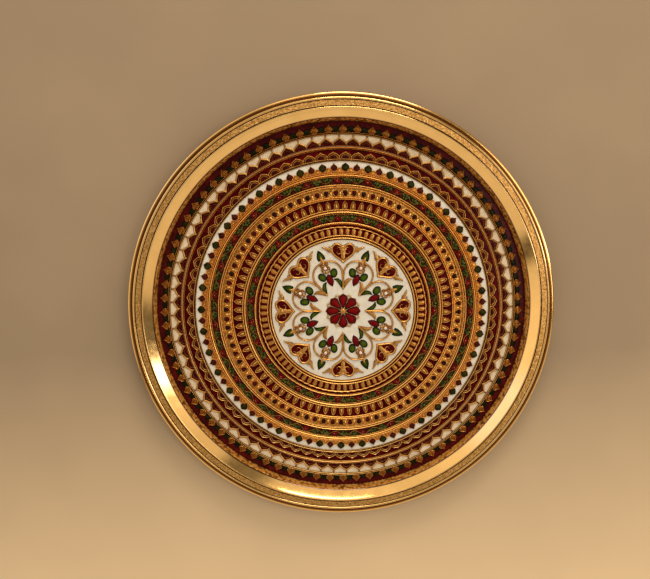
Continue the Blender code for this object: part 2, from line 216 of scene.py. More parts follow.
def dome(outline, height, base=SEAT, centre=None, steps=DOME):
    """A domed cell or leaf over an outline that can be seen whole from its centre."""
    outline = np.asarray(outline, float)
    centre = outline.mean(axis=0) if centre is None else np.asarray(centre, float)
    count = len(outline)
    rings = []
    for share, level in steps:
        ring = centre + (outline - centre) * share
        rings.append(np.column_stack([ring, np.full(count, base + height * level)]))
    points = np.vstack(rings + [[[*centre, base + height]]])
    around = np.arange(count)
    last = (len(steps) - 1) * count
    apex = np.full(count, len(points) - 1)
    faces = [
        grid_faces(len(steps), count, False, True),
        np.stack([last + around, last + (around + 1) % count, apex], axis=1),
        around[None, ::-1],
    ]
    return outward(points, faces)


def oval(x, y, half_x, half_y, height, count=12, tilt=0.0):
    """A domed cell over an ellipse."""
    return dome(ellipse(x, y, half_x, half_y, tilt, count), height)


def turned(profile, steps, ripple=None):
    """A closed profile of (radius, height) turned about the axis; ripple changes its points."""
    profile = np.asarray(profile, float)
    turn = np.arange(steps) * math.tau / steps
    radius, height = (np.tile(column, (steps, 1)) for column in profile.T)
    if ripple is not None:
        ripple(radius, height)
    points = np.stack(
        [radius * np.sin(turn)[:, None], radius * np.cos(turn)[:, None], height], axis=2
    )
    return outward(points.reshape(-1, 3), [grid_faces(steps, len(profile), True, True)])


def wire_ring(radius, width, height, spacing=None, depth=0.0):
    """A round border line, beaded where a spacing is given."""
    if spacing is None:
        return sweep(circle(radius, RING_POINTS), width, height, closed=True, section=FOOTED)
    beads = round(math.tau * radius / spacing)
    swell = 1 - depth * np.tile(BEAD_WAIST, beads)
    line = circle(radius, beads * len(BEAD_WAIST))
    return sweep(line, width, height * swell, closed=True, section=FOOTED)


def ground_ring(inner, outer, grain, rows, steps):
    """An enamel ring with a slightly uneven surface, pillowed between its borders."""
    across = np.linspace(0.0, 1.0, rows)
    radii = inner + (outer - inner) * across
    top = ENAMEL_TOP - 0.12 * np.abs(2 * across - 1) ** 4
    profile = [(inner, ENAMEL_BASE), *zip(radii, top), (outer, ENAMEL_BASE)]

    def ripple(radius, height):
        height[:, 1:-1] += rng.uniform(-grain, grain, (steps, rows))

    return turned(profile, steps, ripple)


class Relief:
    """Closed solids that are gathered into one piece."""

    def __init__(self):
        self.points = []
        self.faces = []
        self.total = 0

    def add(self, solid, count=1, phase=0.0, unevenness=0.0):
        """Add a solid at equal angles around the axis."""
        points, faces = solid
        for index in range(count):
            turn = phase + index * 360 / count + unevenness * rng.uniform(-1, 1)
            angle = math.radians(turn)
            x = points[:, 0] * math.cos(angle) + points[:, 1] * math.sin(angle)
            y = points[:, 1] * math.cos(angle) - points[:, 0] * math.sin(angle)
            self.points.append(np.column_stack([x, y, points[:, 2]]))
            for group in faces:
                self.faces += (group + self.total).tolist()
            self.total += len(points)
        return self

    def add_rings(self, *rings):
        """Add border lines, each given as for wire_ring."""
        for ring in rings:
            self.add(wire_ring(*ring))

    def add_in_arches(self, *solids):
        """Add solids once in every arch."""
        for solid in solids:
            self.add(solid, SECTORS, ARCH_PHASE)

    def build(self, name, material, slot, *nodes):
        """Make the piece, which stands for the given nodes of the frame."""
        mesh = bpy.data.meshes.new(name)
        mesh.from_pydata((np.concatenate(self.points) * MM).tolist(), [], self.faces)
        finish_piece(name, mesh, material, slot, *nodes)


def finish_piece(name, mesh, material, slot, *nodes):
    """Put the mesh into the scene with its material, on the plate's body."""
    mesh.shade_smooth()
    mesh.set_sharp_from_angle(angle=math.radians(SHARP_ANGLE))
    piece = bpy.data.objects.new(name, mesh)
    SCENE.collection.objects.link(piece)
    mesh.materials.append(material)
    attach(piece, "root")
    if nodes:
        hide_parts(*nodes)


def numbered(name):
    """The names of the frame's nodes that repeat in each sector."""
    return [f"{name}_{number}" for number in range(1, SECTORS + 1)]


# Materials

def new_node(tree, kind, **values):
    """A new shader node with the given settings."""
    node = tree.nodes.new("ShaderNode" + kind)
    for key, value in values.items():
        setattr(node, key, value)
    return node


def fill_ramp(ramp, stops):
    """Put stops of (position, colour) on a colour ramp."""
    elements = ramp.color_ramp.elements
    while len(elements) < len(stops):
        elements.new(0.5)
    for element, (position, colour) in zip(elements, stops):
        element.position = position
        element.color = (*colour, 1.0)


class Surface:
    """A node material that is built up from object coordinates."""

    def __init__(self, name, metallic, specular=0.5):
        self.material = bpy.data.materials.new(name)
        self.material.use_nodes = True
        self.tree = self.material.node_tree
        self.shader = self.tree.nodes["Principled BSDF"]
        self.shader.inputs["Metallic"].default_value = metallic
        self.shader.inputs["Specular IOR Level"].default_value = specular
        self.place = self.new("TexCoord").outputs["Object"]

    def new(self, kind, **values):
        """A new node of this material."""
        return new_node(self.tree, kind, **values)

    def link(self, output, node, socket):
        """Joins an output to the node's socket."""
        self.tree.links.new(output, node.inputs[socket])

    def noise(self, size, detail=3.0, roughness=0.6):
        """Cloudy noise whose features are about size millimetres wide."""
        node = self.new("TexNoise")
        node.inputs["Scale"].default_value = 1 / (size * MM)
        node.inputs["Detail"].default_value = detail
        node.inputs["Roughness"].default_value = roughness
        self.link(self.place, node, "Vector")
        return node.outputs["Fac"]

    def grains(self, size):
        """Rounded grains about size millimetres wide."""
        node = self.new("TexVoronoi", feature="SMOOTH_F1")
        node.inputs["Scale"].default_value = 1 / (size * MM)
        self.link(self.place, node, "Vector")
        return node.outputs["Distance"]

    def height(self, low, high):
        """0 at the low level and 1 at the high one, in millimetres above the base."""
        split = self.new("SeparateXYZ")
        self.link(self.place, split, "Vector")
        return self.span(split.outputs["Z"], low * MM, high * MM, 0.0, 1.0)

    def near_edge(self, near, far):
        """1 at the near side of the floor and 0 at the far side, in millimetres along Y."""
        split = self.new("SeparateXYZ")
        self.link(self.place, split, "Vector")
        return self.span(split.outputs["Y"], near * MM, far * MM, 1.0, 0.0)

    def radius(self):
        """The distance from the axis, in metres."""
        flat = self.new("VectorMath", operation="MULTIPLY")
        flat.inputs[1].default_value = (1.0, 1.0, 0.0)
        self.link(self.place, flat, 0)
        length = self.new("VectorMath", operation="LENGTH")
        self.link(flat.outputs["Vector"], length, 0)
        return length.outputs["Value"]

    def rings(self, size):
        """Fine circles around the axis, as spinning leaves them."""
        node = self.new("TexNoise", noise_dimensions="1D")
        node.inputs["Scale"].default_value = 1 / (size * MM)
        node.inputs["Detail"].default_value = 4.0
        self.link(self.radius(), node, "W")
        return node.outputs["Fac"]

    def span(self, value, low, high, to_low, to_high):
        """The value carried over from one range to another."""
        node = self.new("MapRange")
        sockets = ("From Min", "From Max", "To Min", "To Max")
        for socket, number in zip(sockets, (low, high, to_low, to_high)):
            node.inputs[socket].default_value = number
        self.link(value, node, "Value")
        return node.outputs["Result"]

    def mixed(self, first, second, share):
        """first and second in the given proportion."""
        node = self.new("Mix", data_type="FLOAT")
        node.inputs["Factor"].default_value = share
        self.link(first, node, "A")
        self.link(second, node, "B")
        return node.outputs["Result"]

    def colours(self, value, *stops):
        """Paints the surface by a value, with stops of (position, colour)."""
        node = self.new("ValToRGB")
        fill_ramp(node, stops)
        self.link(value, node, "Fac")
        self.link(node.outputs["Color"], self.shader, "Base Color")

    def painted_shade(self, low, high, places, colour):
        """Paints shade over the colour where places of (radius, share) put it, between two radii.
        """
        amount = self.new("ValToRGB")
        fill_ramp(amount, [
            ((radius - low) / (high - low), (share, share, share)) for radius, share in places
        ])
        self.link(self.span(self.radius(), low * MM, high * MM, 0.0, 1.0), amount, "Fac")
        blend = self.new("Mix", data_type="RGBA")
        self.link(amount.outputs["Color"], blend, "Factor")
        painted = self.shader.inputs["Base Color"].links[0].from_socket
        self.tree.links.new(painted, blend.inputs["A"])
        blend.inputs["B"].default_value = (*colour, 1.0)
        self.link(blend.outputs["Result"], self.shader, "Base Color")

    def shine(self, value, low, high):
        """Varies the roughness by a value."""
        self.link(self.span(value, 0.3, 0.7, low, high), self.shader, "Roughness")

    def bump(self, value, strength, depth):
        """Roughens the surface by a value, over a depth in millimetres."""
        node = self.new("Bump")
        node.inputs["Strength"].default_value = strength
        node.inputs["Distance"].default_value = depth * MM
        self.link(value, node, "Height")
        self.link(node.outputs["Normal"], self.shader, "Normal")


# Radii between which shade is painted on the polished brass, in its groove, along its seams and at
# its inner lip, and the share of painted shade at each radius
PAINTED_SHADE_FROM = 135.0
PAINTED_SHADE_TO = 154.0
PAINTED_SHADE = [
    (136.2, 0.8), (136.8, 1), (137.1, 0.1), (137.4, 0), (142.9, 0), (143.1, 1), (143.7, 1),
    (144.0, 0), (147.3, 0), (147.5, 1), (148.0, 1), (148.2, 0), (149.5, 0), (149.9, 0.7),
    (150.8, 0.7), (151.3, 0),
]


def polished_brass():
    """Spun and polished brass with fine turning lines, and painted shade in its groove, along its
    seams and at its inner lip.
    """
    surface = Surface("polished_brass", 1.0)
    shader = surface.shader
    shader.inputs["Coat Weight"].default_value = 1.0
    shader.inputs["Coat Roughness"].default_value = 0.08
    cloud = surface.noise(14.0, 4.0)
    surface.colours(
        surface.mixed(cloud, surface.rings(0.9), 0.3),
        (0.3, (0.78, 0.42, 0.10)),
        (0.55, (0.86, 0.475, 0.125)),
        (0.75, (0.90, 0.53, 0.16)),
    )
    # painted shade: dark lines in the groove, along the seams and at the inner lip
    surface.painted_shade(PAINTED_SHADE_FROM, PAINTED_SHADE_TO, PAINTED_SHADE, (0.07, 0.024, 0.004))
    surface.shine(surface.noise(5.0, 5.0), 0.09, 0.17)
    surface.bump(surface.rings(0.35), 0.12, 0.02)
    return surface.material


def milled_brass():
    """Milled brass, dark between its teeth."""
    surface = Surface("milled_brass", 1.0)
    level = surface.height(13.7, 14.45)
    surface.colours(
        surface.mixed(level, surface.noise(1.0, 2.0, 0.8), 0.6),
        (0.34, (0.095, 0.034, 0.006)),
        (0.50, (0.42, 0.19, 0.040)),
        (0.66, (0.84, 0.47, 0.14)),
    )
    surface.shine(surface.noise(2.0), 0.36, 0.52)
    surface.bump(surface.grains(0.7), 0.3, 0.12)
    return surface.material


def beaded_brass():
    """Aged brass whose grains are painted bright in the middle and dark at their edges: a painted
    highlight and painted shade that stand for beads.
    """
    surface = Surface("beaded_brass", 0.75)
    # painted highlight in the middle of each grain and painted shade at its edges
    surface.colours(
        surface.mixed(surface.noise(1.3, 4.0), surface.grains(2.4), 0.7),
        (0.20, (1.0, 0.62, 0.18)),
        (0.42, (0.98, 0.43, 0.06)),
        (0.60, (0.25, 0.078, 0.009)),
    )
    surface.shine(surface.noise(2.0), 0.4, 0.6)
    surface.bump(surface.grains(0.8), 0.6, 0.2)
    return surface.material


def gilt(name, recess, middle, crest, low=2.45, high=3.4):
    """Cast gold that is dark where it is low and worn bright on its crests."""
    surface = Surface(name, 1.0)
    level = surface.height(low, high)
    surface.colours(
        surface.mixed(level, surface.noise(1.6, 4.0), 0.45),
        (0.2, recess),
        (0.42, middle),
        (0.72, crest),
    )
    surface.shine(surface.noise(1.5), 0.30, 0.50)
    surface.bump(surface.noise(0.5, 5.0), 0.35, 0.08)
    return surface.material


def enamel(name, deep, middle, light, low=2.4, high=3.0, size=2.5, clouds=0.6, specular=0.05):
    """Glossy enamel, clouded over its surface, with painted shade along the low edges of a cell and
    a painted highlight on its raised middle.
    """
    surface = Surface(name, 0.0, specular)
    # painted shade where the enamel is low and a painted highlight where it is raised
    level = surface.height(low, high)
    surface.colours(
        surface.mixed(level, surface.noise(size, 5.0), clouds),
        (0.25, deep),
        (0.5, middle),
        (0.75, light),
    )
    surface.shine(surface.noise(3.0), 0.16, 0.34)
    surface.bump(surface.noise(0.7, 4.0), 0.3, 0.06)
    return surface.material


def pearl():
    """A warm, slightly clouded pearl."""
    surface = Surface("pearl", 0.0, 0.7)
    surface.colours(surface.noise(1.0), (0.35, (0.52, 0.38, 0.26)), (0.65, (0.84, 0.72, 0.58)))
    surface.shine(surface.noise(1.0), 0.1, 0.22)
    surface.bump(surface.noise(0.6), 0.1, 0.03)
    return surface.material


POLISHED = polished_brass()
MILLED = milled_brass()
BEADED = beaded_brass()
GILT = gilt("gilt", (0.040, 0.010, 0.002), (0.385, 0.148, 0.022), (0.76, 0.40, 0.10))
FIELD_GILT = gilt(
    "field_gilt", (0.07, 0.02, 0.003), (0.46, 0.185, 0.026), (0.87, 0.47, 0.11), 2.25, 2.75
)
SCROLL_GILT = gilt("scroll_gilt", (0.05, 0.014, 0.002), (0.47, 0.182, 0.025), (0.90, 0.48, 0.115))
OLIVE_GILT = gilt(
    "olive_gilt", (0.03, 0.008, 0.001), (0.26, 0.10, 0.016), (0.74, 0.42, 0.12), 2.6, 3.4
)
# A darker copy of the gilt for the medallion: painted shade that offsets the light bounced up from
# the white enamel
MEDAL_GILT_SHADED = gilt("medal_gilt_painted_shade", (0.028, 0.008, 0.001), (0.25, 0.082, 0.010), (0.53, 0.25, 0.055))
BROWN_GILT = gilt("brown_gilt", (0.020, 0.005, 0.001), (0.15, 0.052, 0.008), (0.42, 0.20, 0.045))
BUD_GILT = gilt(
    "bud_gilt", (0.025, 0.007, 0.001), (0.19, 0.062, 0.007), (0.47, 0.20, 0.035), 2.6, 3.5
)
WHITE = enamel(
    "white_enamel", (0.54, 0.437, 0.308), (0.625, 0.53, 0.383), (0.70, 0.61, 0.453),
    low=2.3, high=2.6, size=3.5, clouds=0.85,
)
CREAM = enamel(
    "cream_enamel", (0.46, 0.305, 0.16), (0.61, 0.455, 0.265), (0.74, 0.575, 0.375),
    low=2.3, high=2.6, size=3.5, clouds=0.85,
)
# A darker copy of the red ground for the outermost ring: painted shade of the rim's wall
RED_PAINTED_SHADE = enamel(
    "red_painted_shade", (0.014, 0.002, 0.002), (0.046, 0.003, 0.003), (0.115, 0.005, 0.004),
    low=2.3, high=2.7, size=5.0, clouds=0.9,
)
RED_GROUND = enamel(
    "red_ground", (0.016, 0.001, 0.001), (0.052, 0.001, 0.001), (0.135, 0.003, 0.002),
    low=2.3, high=2.7, size=5.0, clouds=0.9, specular=0.03,
)
GREEN_GROUND = enamel(
    "green_ground", (0.008, 0.003, 0.001), (0.030, 0.008, 0.002), (0.08, 0.02, 0.004),
    low=2.3, high=2.7, size=2.0, clouds=0.9,
)
DARK_RED = enamel(
    "dark_red", (0.008, 0.0005, 0.0005), (0.028, 0.0008, 0.0008), (0.07, 0.002, 0.002),
    low=2.3, high=2.8, size=4.0, clouds=0.8,
)
PETAL = enamel(
    "petal_red", (0.010, 0.0005, 0.0005), (0.056, 0.001, 0.001), (0.155, 0.002, 0.001),
    low=2.65, high=3.4, clouds=0.4,
)
BUD_RED = enamel(
    "bud_red", (0.006, 0.0005, 0.0005), (0.038, 0.001, 0.001), (0.12, 0.002, 0.002),
    low=2.65, high=3.4, clouds=0.35,
)
VINE_RED = enamel(
    "vine_red", (0.010, 0.001, 0.001), (0.055, 0.001, 0.001), (0.20, 0.004, 0.003),
    low=2.5, high=3.3, size=1.3, clouds=0.7,
)
LEAF = enamel(
    "leaf_green", (0.001, 0.002, 0.0005), (0.010, 0.018, 0.001), (0.055, 0.075, 0.003),
    low=2.75, high=3.4, clouds=0.35,
)
VINE_GREEN = enamel(
    "vine_green", (0.003, 0.005, 0.001), (0.016, 0.020, 0.002), (0.14, 0.14, 0.018),
    low=2.5, high=3.4, size=1.3, clouds=0.7,
)
DARK_DROP = enamel(
    "drop_green", (0.003, 0.002, 0.001), (0.008, 0.007, 0.001), (0.045, 0.036, 0.003),
    low=2.5, high=3.7, specular=0.04,
)
RED_DROP = enamel(
    "drop_red", (0.010, 0.001, 0.001), (0.026, 0.002, 0.001), (0.10, 0.014, 0.003),
    low=2.5, high=3.7,
)
FIELD_RED = enamel(
    "field_red", (0.012, 0.001, 0.001), (0.040, 0.001, 0.001), (0.10, 0.006, 0.002),
    low=2.5, high=3.7,
)
FIELD_DARK = enamel(
    "field_dark", (0.006, 0.001, 0.001), (0.015, 0.001, 0.001), (0.045, 0.006, 0.002),
    low=2.5, high=3.7,
)
PEARL = pearl()


# Rim

DISH_STEPS = 400
ROLL_CENTRE = (151.8, 12.15)
ROLL_RADIUS = 1.32
ROLL_START = 100
ROLL_TURN = 225
ROLL_PARTS = 12

KNURL_STEPS = 1200
MILLING_ROWS = 8
MILLING_SEAT = 13.7
MILLING_TOP = 14.2
WALL_FOOT = (135.3, 1.9)
WALL_HEAD = (136.0, 8.7)
WALL_BACK = 136.2
BEADS_AROUND = 300
BEAD_SPACING = 4.2


def make_dish():
    """The spun sheet with its wall, polished band, seat, groove and rolled edge."""
    roll = []
    for step in range(ROLL_PARTS + 1):
        angle = math.radians(ROLL_START - step * ROLL_TURN / ROLL_PARTS)
        roll.append((
            ROLL_CENTRE[0] + ROLL_RADIUS * math.cos(angle),
            ROLL_CENTRE[1] + ROLL_RADIUS * math.sin(angle),
        ))
    floor = [(0.0, 1.6), (136.3, 1.6), (136.3, 8.5), (136.45, 8.87), (136.8, 9.2), (137.6, 9.85)]
    band = [(139.0, 10.98), (140.4, 12.2), (141.6, 13.35), (142.2, 13.95), (142.55, 14.2)]
    seat = [(142.95, 14.15), (143.2, 13.8), (143.3, 13.4), (147.9, 13.4), (147.95, 13.8)]
    ridge = [(148.2, 14.15), (148.7, 14.35), (149.2, 14.25), (149.6, 13.8), (149.85, 13.0)]
    groove = [(150.2, 12.4), (150.7, 12.1), (151.1, 12.4)]
    underside = [
        (149.6, 11.6), (147.9, 11.75), (142.5, 11.7), (139.9, 9.9), (138.3, 8.7), (137.9, 8.0),
        (137.9, 0.9), (137.75, 0.4), (137.3, 0.06), (136.9, 0.0), (0.0, 0.0),
    ]
    points, faces = turned(floor + band + seat + ridge + groove + roll + underside, DISH_STEPS)
    mesh = bpy.data.meshes.new("dish_body")
    mesh.from_pydata((points * MM).tolist(), [], faces[0].tolist())
    shape = bmesh.new()
    shape.from_mesh(mesh)
    bmesh.ops.remove_doubles(shape, verts=shape.verts, dist=MERGE_DISTANCE)
    shape.to_mesh(mesh)
    shape.free()
    finish_piece("dish_body", mesh, POLISHED, "polished_brass", "dish")


def make_rim_bands():
    """The milled band on the rim and the beaded strip on the wall, both knurled."""
    radii = np.linspace(143.85, 147.35, MILLING_ROWS)
    crest = [(radius, MILLING_TOP) for radius in radii]
    profile = [(143.6, MILLING_SEAT), *crest, (147.6, MILLING_SEAT)]

    def knurl(radius, height):
        step = np.arange(height.shape[0])[:, None]
        row = np.arange(MILLING_ROWS)[None, :]
        wear = rng.uniform(0.0, 0.3, (height.shape[0], MILLING_ROWS))
        height[:, 1:-1] += 0.24 * ((step + row) % 2) - wear
        height[:, 1] = height[:, MILLING_ROWS] = MILLING_TOP

    Relief().add(turned(profile, KNURL_STEPS, knurl)).build(
        "rim_milling", MILLED, "textured_brass", "milled_band"
    )

    levels = np.linspace(2.1, 8.4, 10)
    lean = (WALL_HEAD[0] - WALL_FOOT[0]) / (WALL_HEAD[1] - WALL_FOOT[1])
    face = [(WALL_FOOT[0] + (level - WALL_FOOT[1]) * lean, level) for level in levels]
    wall = [(WALL_BACK, 1.95), *face, (WALL_BACK, 8.65)]

    def bead(radius, height):
        turn = np.arange(radius.shape[0])[:, None] * math.tau * BEADS_AROUND / radius.shape[0]
        row = (levels - levels[0])[None, :] * math.tau / BEAD_SPACING
        radius[:, 1:-1] += 0.08 - 0.22 * np.sin(turn) * np.cos(row)

    Relief().add(turned(wall, KNURL_STEPS, bead)).build(
        "wall_beading", BEADED, "aged_brass", "bead_ring"
    )


# Floor

def make_grounds():
    """The enamel disc and rings, and the granulated gold ring, that line the floor."""

    def ground(name, inner, outer, material, slot, node, grain=0.02, rows=6, steps=400):
        solid = ground_ring(inner, outer, grain, rows, steps)
        Relief().add(solid).build(name, material, slot, node)

    ground("medallion_enamel", 1.0, 53.6, WHITE, "white_enamel", "medallion_ground", 0.015, 30, 270)
    ground("colonnade_enamel", 53.9, 64.1, RED_GROUND, "dark_red_enamel", "colonnade_ground")
    ground("inner_vine_enamel", 64.4, 72.6, GREEN_GROUND, "dark_green_enamel", "inner_vine_ground")
    ground("tooth_enamel", 72.9, 80.9, RED_GROUND, "dark_red_enamel", "tooth_ground")
    ground("granulated_field", 81.2, 90.5, FIELD_GILT, "gilt_relief", "drop_ground", 0.16, 14, 720)
    ground("outer_vine_enamel", 90.8, 98.6, GREEN_GROUND, "dark_green_enamel", "outer_vine_ground")
    ground("inner_white_enamel", 98.9, 108.0, WHITE, "white_enamel", "inner_white_ground")
    ground("lace_enamel", 108.3, 117.1, RED_GROUND, "dark_red_enamel", "lace_ground")
    ground("outer_white_enamel", 117.4, 125.9, CREAM, "white_enamel", "outer_white_ground")
    # the outermost ring's red carries painted shade of the rim's wall
    ground("bud_enamel", 126.2, 135.1, RED_PAINTED_SHADE, "dark_red_enamel", "bud_ground")


def make_colonnade():
    """Two gold rings, then broad columns with dark slots between them under an arched line."""
    gold = Relief()
    gold.add_rings((52.3, 0.7, 0.35), (53.3, 1.7, 1.15), (55.2, 1.5, 1.15, 1.3, 0.2))
    column = pitched(both([
        (0.24, 55.8), (0.26, 56.6), (0.28, 58.0), (0.29, 59.2), (0.18, 60.0), (0.0, 60.3),
    ]))
    gold.add(dome(column, 0.62, centre=(0.0, 58.0), steps=FLAT_DOME), MOTIFS, BETWEEN, 0.08)
    edge = pitched([(0.25, 55.8), (0.27, 57.6), (0.29, 59.4)])
    gold.add(sweep(edge, 0.55, 1.0), MOTIFS, BETWEEN, 0.04)
    gold.add(sweep(edge * [-1, 1], 0.55, 1.0), MOTIFS, BETWEEN, 0.04)
    gold.add(sweep([(0.0, 56.0), (0.0, 59.4)], 0.6, 0.7), MOTIFS, BETWEEN, 0.08)
    line = festoon([(0.0, 61.3), (0.25, 61.1), (0.5, 60.9), (0.75, 61.1)])
    gold.add(sweep(line, 1.5, 1.15, closed=True, section=FOOTED), 1, MAIN_PHASE)
    gold.build("colonnade_gold", GILT, "gilt_relief", "colonnade")


def vine(name, node, radius, phase, border):
    """Clusters of enamel leaves and flowers along a thin gold stem, beside gold borders."""
    clusters = 3 * VINE_GROUPS
    step = 360 / clusters
    leaf = [
        oval(0.0, radius + 0.9, 1.2, 1.25, 0.9, 14),
        oval(-1.95, radius + 0.3, 1.1, 1.55, 0.8, 14, -55.0),
        oval(1.95, radius + 0.3, 1.1, 1.55, 0.85, 14, 55.0),
        oval(-0.95, radius - 1.3, 1.0, 1.0, 0.7),
        oval(0.95, radius - 1.3, 1.0, 1.0, 0.75),
    ]
    petals = []
    for turn in (0.0, 1.26, 2.51, 3.77, 5.03):
        place = (1.4 * math.sin(turn), radius + 1.25 * math.cos(turn))
        petals.append(oval(*place, 1.0, 1.35, 0.85, tilt=math.degrees(turn)))
    green = Relief()
    red = Relief()
    gold = Relief()
    for index in (0, 1):
        for solid in leaf:
            green.add(solid, VINE_GROUPS, phase + index * step, 0.3)
    for solid in petals:
        red.add(solid, VINE_GROUPS, phase + 2 * step, 0.15)
    for index in range(3):
        place = phase + (index + 0.5) * step
        berry = oval(0.0, radius - 1.5, 0.95, 1.15, 0.75, 10)
        red.add(berry, VINE_GROUPS, place, 0.3)
        tip = oval(0.0, radius + 1.9, 0.7, 0.8, 0.7, 10)
        green.add(tip, VINE_GROUPS, place, 0.3)
    green.build(name + "_leaves", VINE_GREEN, "green_enamel")
    red.build(name + "_flowers", VINE_RED, "red_enamel")
    gold.add_rings(*border)
    eye = oval(0.0, radius, 0.4, 0.4, 0.95, 8)
    gold.add(eye, VINE_GROUPS, phase + 2 * step)
    count = clusters * 6
    turn = np.arange(count) * math.tau / count
    wave = radius + 1.8 * np.sin(turn * clusters / 2 + 0.6)
    stem = np.column_stack([wave * np.sin(turn), wave * np.cos(turn)])
    gold.add(sweep(stem, 0.5, 1.1, closed=True))
    gold.build(name + "_gold", GILT, "gilt_relief", node)


def make_vines():
    """The two rings of vine, each with the plain borders on its inner side."""
    single = [(63.4, 0.8, 1.0), (64.3, 1.7, 1.2, 1.3, 0.2)]
    vine("inner_vine", "vine_border", 67.55, 1.1, single)
    twin = [(88.5, 0.9, 1.05), (89.45, 1.5, 1.2, 1.2, 0.25), (90.9, 1.5, 1.1)]
    vine("outer_vine", "twin_border", 94.1, 1.9, twin)


def make_teeth():
    """A triple border and outward lotus teeth, each with a raised edge and core."""
    gold = Relief()
    gold.add_rings((70.4, 0.9, 0.9, 1.5, 0.4), (71.8, 1.9, 1.2), (73.4, 1.5, 1.1, 1.2, 0.3))
    half = [(0.28, 73.9), (0.27, 75.2), (0.25, 76.6), (0.21, 77.8), (0.12, 78.8), (0.0, 79.6)]
    edge = pitched(both(half))
    gold.add(dome(edge, 0.35, centre=(0.0, 76.0), steps=FLAT_DOME), MOTIFS, MAIN_PHASE, 0.12)
    gold.add(sweep(edge, 0.75, 1.1), MOTIFS, MAIN_PHASE, 0.05)
    core = pitched(both([(0.0, 74.4), (0.10, 75.1), (0.09, 76.6), (0.05, 77.7), (0.0, 78.3)]))
    gold.add(dome(core, 0.95, centre=(0.0, 76.3), steps=FLAT_DOME), MOTIFS, MAIN_PHASE, 0.1)
    gold.build("lotus_teeth_gold", GILT, "gilt_relief", "lotus_teeth")


def make_field_drops():
    """Drops that point inwards on the granulated field, with gold lines around them."""
    outline = motif([
        (0.0, 83.1), (0.0, 83.1), (0.14, 83.9), (0.22, 84.8), (0.26, 86.0), (0.2, 87.0),
        (0.0, 87.3),
    ])
    drop = dome(outline, 1.0, centre=(0.0, 85.7))
    for kind, material, shift in (("dark", FIELD_DARK, 0.0), ("red", FIELD_RED, PITCH)):
        drops = Relief().add(drop, MOTIFS // 2, MAIN_PHASE + shift, 0.12)
        drops.build("field_drops_" + kind, material, "dark_red_enamel")
    gold = Relief()
    gold.add_rings((81.0, 1.2, 1.15), (82.2, 1.3, 1.15, 1.3, 0.25))
    line = festoon([(0.0, 82.5), (0.2, 83.5), (0.36, 85.9), (0.5, 87.7), (0.64, 85.9), (0.8, 83.5)])
    gold.add(sweep(line, 0.75, 1.15, closed=True, section=FOOTED), 1, MAIN_PHASE)
    gold.add(oval(0.0, 85.0, 0.75, 1.3, 1.15), MOTIFS, BETWEEN, 0.1)
    gold.add(oval(0.0, 83.2, 1.1, 0.55, 0.95), MOTIFS, BETWEEN, 0.1)
    gold.build("field_gold", SCROLL_GILT, "gilt_relief")


def make_scroll():
    """The scroll border with lobed bumps, and large and small drops between them."""
    gold = Relief()
    gold.add_rings(
        (96.6, 0.9, 1.0, 1.5, 0.4), (97.8, 1.6, 1.2), (99.1, 1.2, 1.1, 1.3, 0.3), (100.0, 0.8, 1.0),
    )
    edge = motif([
        (0.37, 99.8), (0.37, 100.5), (0.30, 101.1), (0.23, 101.2), (0.20, 102.0), (0.10, 102.7),
        (0.0, 103.0),
    ], closed=False)
    gold.add(dome(edge, 0.45, centre=(0.0, 100.8), steps=FLAT_DOME), MOTIFS, BETWEEN, 0.15)
    gold.add(sweep(edge, 0.65, 1.1), MOTIFS, BETWEEN, 0.05)
    gold.add(oval(0.0, 101.1, 0.6, 0.75, 1.0), MOTIFS, BETWEEN, 0.15)
    large = motif([
        (0.0, 100.5), (0.0, 100.5), (0.16, 101.1), (0.28, 102.0), (0.335, 103.1), (0.30, 104.4),
        (0.16, 105.4), (0.0, 106.2), (0.0, 106.2),
    ])
    small = motif([
        (0.0, 100.8), (0.14, 101.3), (0.25, 102.1), (0.29, 103.1), (0.24, 104.0), (0.11, 104.9),
        (0.05, 105.4), (0.0, 106.1), (0.0, 106.1),
    ])
    gold.add(sweep(large, 0.3, 0.7, closed=True), MOTIFS // 2, MAIN_PHASE)
    gold.add(sweep(small, 0.36, 0.85, closed=True), MOTIFS // 2, MAIN_PHASE + PITCH)
    gold.build("scroll_gold", SCROLL_GILT, "gilt_relief", "scroll_drops")
    Relief().add(dome(large, 1.05, centre=(0.0, 103.0)), MOTIFS // 2, MAIN_PHASE).build(
        "large_drops", DARK_DROP, "dark_green_enamel"
    )
    Relief().add(dome(small, 1.0, centre=(0.0, 103.0)), MOTIFS // 2, MAIN_PHASE + PITCH).build(
        "small_drops", RED_DROP, "dark_red_enamel"
    )


